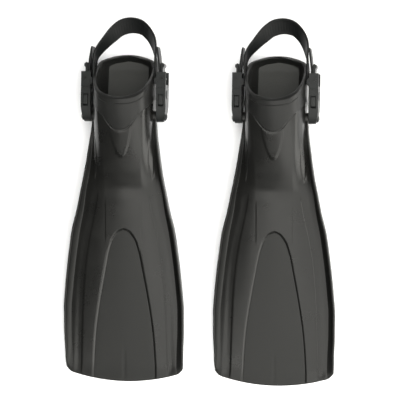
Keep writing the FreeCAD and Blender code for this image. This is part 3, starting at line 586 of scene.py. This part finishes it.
def section_at(tab, y, heel=None, slope=0.0):
    """Half section of the pocket at y, PM // 2 + 1 points from the bottom middle to the crown."""
    vals = row(tab, y)
    w, zb, ze, x1, z1, x2, z2, zt = vals
    s = 1.0
    if heel is not None and y > heel[0]:
        d = max(0.0, heel[1] - y)
        arc = math.sqrt(max(0.0, 2 * heel[2] * d - d * d)) / w
        s = (arc ** -14 + 1.0) ** (-1 / 14.0) if arc > 1e-4 else 0.0
    # control walk, bottom middle to crown
    cx = np.array([0, 0.55 * w, 0.86 * w, 0.965 * w, w, w, w, x1, x2, 0.5 * x2, 0.0])
    cz = np.array([zb, zb, zb + 0.6, zb + 3.2, zb + 9, 0.5 * (zb + ze), ze, z1, z2,
                   z2 + 0.78 * (zt - z2), zt])
    if slope > 0:
        k = slope * float(sstep(400, 470, y))
        cx[1:6] *= 1 - k * np.array([0.06, 0.15, 0.16, 0.11, 0.035])
        cz[2:5] += k * np.array([0.6, 1.4, 3.5])
    cx = np.concatenate([cx, [-0.5 * x2]])
    cz = np.concatenate([cz, [cz[-2]]])
    L = np.concatenate([[0], np.cumsum(np.hypot(np.diff(cx), np.diff(cz)))])
    q = np.linspace(0, L[-2], PM // 2 + 1)
    X = pchip(L, cx, q) * s
    Z = pchip(L, cz, q)
    return X, Z


def pocket_surface(tab, heel, slope=0.0):
    ys = np.concatenate([np.linspace(352, heel[0], 90), heel[0] + (heel[1] - heel[0]) *
                         (1 - (1 - np.linspace(0, 1, 34)) ** 2.2)])
    ys = np.unique(np.round(ys, 3))
    XS = np.array([section_at(tab, y, heel, slope)[0] for y in ys])
    ZS = np.array([section_at(tab, y, heel, slope)[1] for y in ys])
    return ys, XS, ZS


def lookup(S, j, y):
    ys, XS, ZS = S
    return float(np.interp(y, ys, XS[:, j])), float(np.interp(y, ys, ZS[:, j]))


def build_pocket(fin, sx):
    H = PM // 2 + 1
    outer = pocket_surface(BLADE, (545.0, 571.0, 106.0))
    inner = pocket_surface(INNER, (537.0, 568.2, 98.0), 1.0)
    prof = []
    for j in range(H):
        # rim position along this line
        def rim_of(S, heel_y):
            ys = np.linspace(470, heel_y, 420)
            xs = np.interp(ys, S[0], S[1][:, j])
            zs = np.interp(ys, S[0], S[2][:, j])
            over = np.where(zs >= rim_z(ys))[0]
            return float(ys[over[0]]) if len(over) else heel_y
        yo = rim_of(outer, 571.0)
        yi = rim_of(inner, 568.2)
        z_rim = lookup(outer, j, yo)[1]
        bandk = float(sstep(21, 38, z_rim))
        xo, zo = lookup(outer, j, 470)
        x_here, z_here = lookup(outer, j, 466)
        if z_here > 60:
            yv = float(vline(x_here))
        else:
            yv = 489 + (60 - z_here) / 45.0 * 6
            if z_here < 24:
                yv = 493.8 - (24 - z_here) * 4.0
        # line from the toe end, out at the rubber's edge, back to the rim, inside again
        pts = []
        k1 = 16
        for k in range(k1):
            y = 356.0 + (yv - 1.0 - 356.0) * k / (k1 - 1)
            a, b = lookup(inner, j, y), lookup(outer, j, y)
            s = 0.30
            pts.append((a[0] + (b[0] - a[0]) * s, y, a[1] + (b[1] - a[1]) * s))
        n_out = 64
        for k in range(n_out + 1):
            f = k / float(n_out)
            f = 1 - (1 - f) ** 1.25
            y = yv + (yo - yv) * f
            x, z = lookup(outer, j, y)
            # outward direction from the section's middle
            vx, vz = x * 0.9, (z - 45.0)
            n = math.hypot(vx, vz) or 1.0
            vx, vz = vx / n, vz / n
            lip = 1.15 * math.sqrt(min(1.0, (y - yv + 0.02) / 1.0)) * (0.35 + 0.65 * bandk)
            dr = yo - y
            band = 0.0
            if z > 18:
                bw = 6.5 + 1.3 * float(sstep(60, 95, z_rim))
                band = 1.1 * (1 - float(sstep(bw - 0.7, bw + 0.5, dr)))
                band -= 0.5 * math.exp(-((dr - bw - 0.5) / 0.7) ** 2)
                band *= bandk
            off = lip + band
            if z < 20:
                off *= max(0.0, (z - 6) / 14.0)
            pts.append((x + vx * off if j not in (0, H - 1) else 0.0, y, z + vz * off))
        # roll over the rim
        xo, yo_, zo = pts[-1]
        high = float(sstep(24, 40, z_rim))

        def inside(y):
            a, b = lookup(inner, j, y), lookup(outer, j, y)
            k = 1 - 0.5 * high * (1 - float(sstep(0, 26, yi - y)))
            return b[0] + (a[0] - b[0]) * k, b[1] + (a[1] - b[1]) * k
        xi, zi = inside(yi)
        for k in range(1, 6):
            a = math.pi * k / 6.0
            f = (1 - math.cos(a)) / 2
            bx, by, bz = xo + (xi - xo) * f, yo_ + (yi - yo_) * f, zo + (zi - zo) * f
            lift = math.sin(a) * (1.2 - 0.5 * high)
            if z_here > 90:
                pts.append((bx, by + lift, bz + 0.2 * lift))
            else:
                pts.append((bx, by + lift * 0.45, bz + lift * 0.8))
        n_in = 56
        for k in range(n_in + 1):
            y = yi + (356.0 - yi) * k / n_in
            x, z = inside(y)
            pull = 9.0 * float(sstep(535, 566, y)) * (1 - float(np.clip((z - 8.2) / 14.0, 0, 1)))
            pts.append((x if j not in (0, H - 1) else 0.0, y - pull, z))
        prof.append(pts)
    R = np.array(prof)                       # H, K, 3
    left = R[1:-1][::-1].copy()
    left[..., 0] *= -1
    full = np.concatenate([R, left])         # PM, K, 3
    G = np.transpose(full, (1, 0, 2))        # K rings of PM points
    # toe end: both rings close together
    n, m, _ = G.shape
    V = list(map(tuple, to_world(G, sx).reshape(-1, 3)))
    F = grid_faces(n, m)
    for a in range(m):
        b = (a + 1) % m
        F.append((a, b, (n - 1) * m + b, (n - 1) * m + a))
    ob = mesh_obj(fin + ".foot_pocket", V, F, angle=42)
    return ob


def build_bed(fin, sx):
    """Insole with a turned-up edge and a fine ribbed tread."""
    tab = np.array([(362, 30, 40.6), (405, 41.5, 33.0), (438, 43.0, 27.2), (465, 43.6, 22.6),
                    (489, 43.6, 18.4), (505, 43.0, 15.6), (535, 43.0, 10.5), (548, 43.0, 8.4),
                    (570, 43.0, 8.4)])
    ys = np.concatenate([np.arange(362, 536, 2.0), 536 + 24.5 * (1 - (1 - np.linspace(0, 1, 18)) ** 2.0)])
    rings = []
    nt = 61
    for y in ys:
        w, z0 = [float(pchip(tab[:, 0], tab[:, k], y)) for k in (1, 2)]
        if y > 536:
            w *= math.sqrt(max(0.0, 1 - ((y - 536) / 24.6) ** 2.6))
        if y < 380:
            w *= math.sqrt(max(0.0, 1 - ((380 - y) / 18.2) ** 2.2))
        ph = np.linspace(-1, 1, nt)
        x = w * np.sin(ph * math.pi / 2)
        edge = w - np.abs(x)
        z = z0 + 2.6 + 0.9 * (1 - sstep(0, 7.0, edge)) - 0.5 * (1 - (x / 46.0) ** 2)
        tread = 0.22 * sstep(0.55, 0.8, 0.5 + 0.5 * np.cos(2 * math.pi * (y + 0.012 * x ** 2) / 6.0))
        z = z - tread * sstep(5.0, 8.0, edge) * (1 if 395 < y < 548 else 0)
        X = np.concatenate([x, x[::-1]])
        Z = np.concatenate([z, np.full(nt, z0 + 0.1)])
        rings.append(np.stack([X, np.full(2 * nt, y), Z], -1))
    return loop_solid(fin + ".footbed", np.stack(rings), sx, angle=35)


def build_sole(fin, sx):
    """Outsole with cross grooves and a rim, flat under the heel."""
    tab = np.array([(352, 40, 33.9), (370, 44, 30.8), (405, 48, 24.7), (438, 48, 19.0),
                    (465, 47.5, 14.4), (489, 46.5, 10.2), (505, 45.5, 7.4), (535, 45.5, 2.3),
                    (548, 45.5, 0.0), (575, 45.5, 0.0)])
    ys = np.concatenate([np.arange(352.5, 551, 1.0), 551 + 20.0 * (1 - (1 - np.linspace(0, 1, 16)) ** 2.0)])
    rings = []
    nt = 49
    for y in ys:
        w, z0 = [float(pchip(tab[:, 0], tab[:, k], y)) for k in (1, 2)]
        if y > 551:
            w = 45.5 * math.sqrt(max(0.0, 1 - ((y - 551) / 20.1) ** 2.4))
        if y < 372:
            w *= math.sqrt(max(0.0, 1 - ((372 - y) / 20.0) ** 2.4))
        ph = np.linspace(-1, 1, nt)
        x = w * np.sin(ph * math.pi / 2)
        edge = w - np.abs(x)
        g = sstep(0.60, 0.85, 0.5 + 0.5 * math.cos(2 * math.pi * y / 9.0)) if 366 < y < 558 else 0.0
        zlow = z0 + 1.5 * float(g) * sstep(4.0, 5.2, edge) + 1.1 * (1 - sstep(0.0, 1.6, edge))
        zlow = zlow + 1.4 * np.exp(-((np.abs(x) - 20.0) / 1.1) ** 2) * (1 if 366 < y < 558 else 0)
        X = np.concatenate([x, x[::-1]])
        Z = np.concatenate([np.full(nt, z0 + 3.95), zlow[::-1]])
        rings.append(np.stack([X, np.full(2 * nt, y), Z], -1))
    return loop_solid(fin + ".outsole", np.stack(rings), sx, angle=35)


# --------------------------------------------------------------- heel strap
LOOP = np.array([
    (-54.2, 524.5, 60.0, -54.2, 524.5, 34.0), (-54.2, 535.0, 60.0, -54.2, 535.0, 34.0),
    (-54.2, 549.0, 60.0, -54.2, 548.0, 34.0), (-53.6, 572.0, 60.0, -51.6, 562.0, 34.5),
    (-49.0, 586.0, 59.5, -43.6, 573.5, 35.5), (-38.0, 603.0, 59.0, -32.5, 584.5, 37.0),
    (-26.0, 618.6, 58.0, -21.0, 594.5, 38.5), (-11.0, 630.0, 57.0, -8.0, 604.0, 40.0),
    (8.0, 634.0, 56.5, 8.5, 608.0, 41.0), (27.0, 629.5, 57.0, 24.5, 605.0, 40.0),
    (40.5, 617.6, 58.0, 34.0, 596.0, 38.5), (49.5, 603.0, 59.0, 41.0, 586.0, 37.0),
    (53.2, 588.0, 59.5, 47.0, 575.0, 35.5), (54.2, 574.0, 60.0, 52.0, 562.5, 34.5),
    (54.2, 549.0, 60.0, 54.2, 548.0, 34.0), (54.2, 535.0, 60.0, 54.2, 535.0, 34.0),
    (54.2, 524.5, 60.0, 54.2, 524.5, 34.0)])


def catmull(P, per):
    out = []
    n = len(P)
    for i in range(n - 1):
        p0, p1, p2, p3 = P[max(i - 1, 0)], P[i], P[i + 1], P[min(i + 2, n - 1)]
        for k in range(per):
            t = k / float(per)
            out.append(0.5 * ((2 * p1) + (-p0 + p2) * t + (2 * p0 - 5 * p1 + 4 * p2 - p3) * t**2
                              + (-p0 + 3 * p1 - 3 * p2 + p3) * t**3))
    out.append(P[-1])
    return np.array(out)


def band_ring(top, bot, nrm, t_in, t_out, pad, relief_in, nw=22):
    """Rounded flat section from the top edge down and back."""
    h = top - bot
    s = (1 - np.cos(np.linspace(0, math.pi, nw))) / 2
    e = np.clip(np.minimum(s, 1 - s) * np.linalg.norm(h), 0, None)
    r = 1.5
    rnd = np.sqrt(np.clip(1 - (1 - np.clip(e / r, 0, 1)) ** 2, 0, 1))
    inn = -(t_in * rnd) - relief_in(s, e)
    out = t_out * rnd + pad * sstep(2.0, 5.0, e)
    A = np.array([top - h * q for q in s])
    P_in = A + nrm[None, :] * inn[:, None]
    P_out = A + nrm[None, :] * out[:, None]
    return np.concatenate([P_in, P_out[::-1]])


def build_strap(fin, sx):
    top = catmull(LOOP[:, :3], 14)
    bot = catmull(LOOP[:, 3:], 14)
    for edge in (top, bot):
        edge[:, 0] += 2.6 * sstep(562, 598, edge[:, 1])
    mid = (top + bot) / 2
    n = len(top)
    tan = np.gradient(mid, axis=0)
    L = np.concatenate([[0], np.cumsum(np.linalg.norm(np.diff(mid, axis=0), axis=1))])
    total = L[-1]
    rings = []
    for i in range(n):
        up = top[i] - bot[i]
        nrm = np.cross(tan[i], up)
        nrm /= np.linalg.norm(nrm)
        # outward: away from the middle of the loop
        c = np.array([0.0, 560.0, 47.0])
        if np.dot(nrm, mid[i] - c) < 0:
            nrm = -nrm
        s_mid = L[i] / total
        d_pad = abs(L[i] - total * 0.5)
        padk = float(1 - sstep(30, 40, d_pad))

        def rel(s, e, padk=padk, li=L[i]):
            # heel pad: a sunk border line and shallow cross ribs inside
            line = 0.45 * np.exp(-((e - 5.2) / 0.8) ** 2) * padk
            ribs = 0.35 * padk * sstep(6.0, 7.5, e) * (0.5 + 0.5 * math.cos(2 * math.pi * (li - total / 2) / 5.0))
            return 0.55 * padk - line - ribs * 0.9
        rings.append(band_ring(top[i], bot[i], nrm, 1.8, 1.75, 0.0, rel))
    G = np.stack(rings)
    n, m, _ = G.shape
    V = list(map(tuple, to_world(G, sx).reshape(-1, 3)))
    F = grid_faces(n, m)
    for off in (0, (n - 1) * m):
        h = m // 2
        for k in range(h - 1):
            F.append((off + k, off + k + 1, off + m - 2 - k, off + m - 1 - k))
    # teeth on the inner face of both straight runs, joined as one skin
    bm = bmesh.new()
    me = bpy.data.meshes.new("t")
    me.from_pydata(V, [], F)
    bm.from_mesh(me)
    bpy.data.meshes.remove(me)
    for s in (-1, 1):
        for k in range(9):
            y = 525.6 + k * 3.6
            z0, z1 = 47 - 11.4, 47 + 11.4
            xb, xt = s * 52.9, s * 50.95
            if y > 546:
                # follow the band as it starts to bend in
                xb -= s * 0.15
                xt -= s * 0.0
            prof = [(xb, y - 1.4), (xt, y - 0.55), (xt, y + 0.55), (xb, y + 1.4)]
            lo = [bm.verts.new(to_world(np.array([p[0], p[1], z0]), sx)) for p in prof]
            hi = [bm.verts.new(to_world(np.array([p[0], p[1], z1]), sx)) for p in prof]
            for a in range(4):
                b = (a + 1) % 4
                bm.faces.new((lo[a], lo[b], hi[b], hi[a]))
            bm.faces.new(lo[::-1])
            bm.faces.new(hi)
    bmesh.ops.remove_doubles(bm, verts=bm.verts, dist=1e-6)
    bmesh.ops.recalc_face_normals(bm, faces=bm.faces)
    me = bpy.data.meshes.new(fin + ".heel_strap")
    bm.to_mesh(me)
    bm.free()
    ob = bpy.data.objects.new(fin + ".heel_strap", me)
    bpy.context.scene.collection.objects.link(ob)
    for p in me.polygons:
        p.use_smooth = True
    me.set_sharp_from_angle(angle=math.radians(45))
    return ob


# ------------------------------------------------------------ buckle pieces
def eased_copy(node, name, width=0.0005, seg=2, angle=30):
    """A bevelled piece that stands for a CAD node of the same shape."""
    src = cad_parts[node]
    me = src.data.copy()
    me.name = name
    bm = bmesh.new()
    bm.from_mesh(me)
    bmesh.ops.remove_doubles(bm, verts=bm.verts, dist=1e-6)
    bmesh.ops.dissolve_limit(bm, angle_limit=math.radians(1.0), verts=bm.verts, edges=bm.edges)
    bmesh.ops.recalc_face_normals(bm, faces=bm.faces)
    edges = [e for e in bm.edges if len(e.link_faces) == 2 and e.calc_face_angle(0) > math.radians(angle)]
    if width > 0 and edges:
        bmesh.ops.bevel(bm, geom=edges, offset=width, segments=seg, profile=0.6,
                        affect="EDGES", clamp_overlap=True)
    bmesh.ops.remove_doubles(bm, verts=bm.verts, dist=1e-6)
    bm.to_mesh(me)
    bm.free()
    ob = bpy.data.objects.new(name, me)
    bpy.context.scene.collection.objects.link(ob)
    for p in me.polygons:
        p.use_smooth = True
    me.set_sharp_from_angle(angle=math.radians(32))
    wn = ob.modifiers.new("even", "WEIGHTED_NORMAL")
    wn.mode = "FACE_AREA"
    wn.weight = 100
    wn.keep_sharp = True
    deps = bpy.context.evaluated_depsgraph_get()
    flat = bpy.data.meshes.new_from_object(ob.evaluated_get(deps))
    ob.modifiers.clear()
    ob.data = flat
    flat.name = name
    bpy.data.meshes.remove(me)
    return ob


# --------------------------------------------------------------- everything
for fin, sx in FINS:
    body = fin + "_fin"
    wear(build_blade(fin, sx), "blade_plastic", body, [fin + "_blade"])
    wear(build_panel(fin, sx), "panel_rubber", body, [fin + "_blade_panel"])
    for side, s in (("outer", sx), ("inner", -sx)):
        wear(build_rail(fin, side, s, sx), "rail_rubber", body, ["%s_%s_rail" % (fin, side)])
    wear(build_pocket(fin, sx), "pocket_rubber", body, [fin + "_foot_pocket"])
    wear(build_bed(fin, sx), "bed_rubber", body, [fin + "_footbed"])
    wear(build_sole(fin, sx), "sole_rubber", body, [fin + "_outsole"])
    wear(build_strap(fin, sx), "strap_rubber", fin + "_strap", [fin + "_heel_strap"])
    for side in ("outer", "inner"):
        b = "%s_%s" % (fin, side)
        for part, mat, bod, wdt in (
                ("socket", "buckle_plastic", b + "_socket", 0.0007),
                ("clip", "buckle_plastic", b + "_clip", 0.0005),
                ("ratchet_lever", "lever_plastic", b + "_ratchet_lever", 0.0005),
                ("release_top", "button_plastic", b + "_release_top", 0.0004),
                ("release_bottom", "button_plastic", b + "_release_bottom", 0.0004),
                ("strap_tail", "strap_rubber", b + "_clip", 0.0006)):
            node = "%s_%s" % (b, part)
            wear(eased_copy(node, "%s.%s_%s" % (fin, side, part), wdt), mat, bod, [node])

# carried-over CAD pieces
for node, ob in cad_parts.items():
    mat = None
    if node.endswith("_post"):
        mat = "blade_plastic"
    elif node.endswith("_post_caps"):
        mat = "buckle_plastic"
    elif node.endswith("_strap_roller") or node.endswith("_lever_pin"):
        mat = "pin_steel"
    elif node.endswith("_lever_spring"):
        mat = "spring_steel"
    if mat:
        for sl in ob.material_slots:
            sl.material = M[mat]
        if not ob.material_slots:
            ob.data.materials.append(M[mat])

# ------------------------------------------------------------ floor, lights
fl = bpy.data.meshes.new("floor")
fl.from_pydata([(-6, -6, 0), (6, -6, 0), (6, 6, 0), (-6, 6, 0)], [], [(0, 1, 2, 3)])
floor = bpy.data.objects.new("floor", fl)
bpy.context.scene.collection.objects.link(floor)
fm, fnt, fbs = new_mat("studio_floor")
fbs.inputs["Base Color"].default_value = (0.93, 0.93, 0.93, 1)
fbs.inputs["Roughness"].default_value = 0.9
fbs.inputs["Specular IOR Level"].default_value = 0.1
floor.data.materials.append(fm)

world = bpy.data.worlds.new("studio")
bpy.context.scene.world = world
world.use_nodes = True
bg = world.node_tree.nodes["Background"]
bg.inputs[0].default_value = (1, 1, 1, 1)
bg.inputs[1].default_value = 0.075


def softbox(name, loc, target, size, size_y, radiance, warm=True, glossy=True):
    li = bpy.data.lights.new(name, "AREA")
    li.shape = "RECTANGLE"
    li.size = size
    li.size_y = size_y
    li.energy = radiance * math.pi * size * size_y
    if warm:
        li.color = (1.0, 0.99, 0.935)
    ob = bpy.data.objects.new(name, li)
    ob.location = loc
    d = Vector(target) - Vector(loc)
    ob.rotation_euler = d.to_track_quat("-Z", "Y").to_euler()
    ob.visible_glossy = glossy
    bpy.context.scene.collection.objects.link(ob)
    return ob


softbox("top", (1.22, 0.0, 4.0), (1.22, 0.0, 0.0), 3.6, 5.4, 1.5)
softbox("side", (4.0, -1.2, 1.9), (0.0, -1.2, 1.9), 5.6, 3.2, 3.6)
softbox("front_right", (2.1, -4.3, 4.0), (2.1, -4.3, 0.0), 2.9, 3.0, 3.2)
softbox("front", (-0.66, -2.05, 4.0), (-0.66, -2.05, 0.0), 0.70, 1.10, 5.2)
softbox("middle", (-0.25, -0.96, 3.95), (-0.25, -0.96, 0.0), 0.85, 0.44, 2.4)
softbox("fill", (1.5, 0.3, 5.0), (0.0, 0.0, 0.0), 7.0, 7.0, 3.6, warm=False, glossy=False)

# ---------------------------------------------------------------- the camera
cam = bpy.data.cameras.new("camera")
camo = bpy.data.objects.new("camera", cam)
bpy.context.scene.collection.objects.link(camo)
bpy.context.scene.camera = camo
cam.sensor_width = 36.0
cam.lens = 200.0
tilt = math.radians(8.7)
roll = math.radians(1.05)
width_m = 400 * 0.001733
dist = width_m * cam.lens / cam.sensor_width
aim = Vector((0.0007, 0.0022, 0.03))
back = Vector((math.sin(tilt), 0.0, math.cos(tilt)))
camo.location = aim + back * dist
cam.clip_end = 30
up = Vector((0, 1, 0))
zc = back.normalized()
xc = up.cross(zc).normalized()
yc = zc.cross(xc)
R = Matrix((xc, yc, zc)).transposed()
R = R @ Matrix.Rotation(roll, 3, "Z")
camo.rotation_euler = R.to_euler()

bpy.context.scene.view_settings.view_transform = "Standard"
bpy.context.scene.view_settings.look = "None"
bpy.context.view_layer.update()
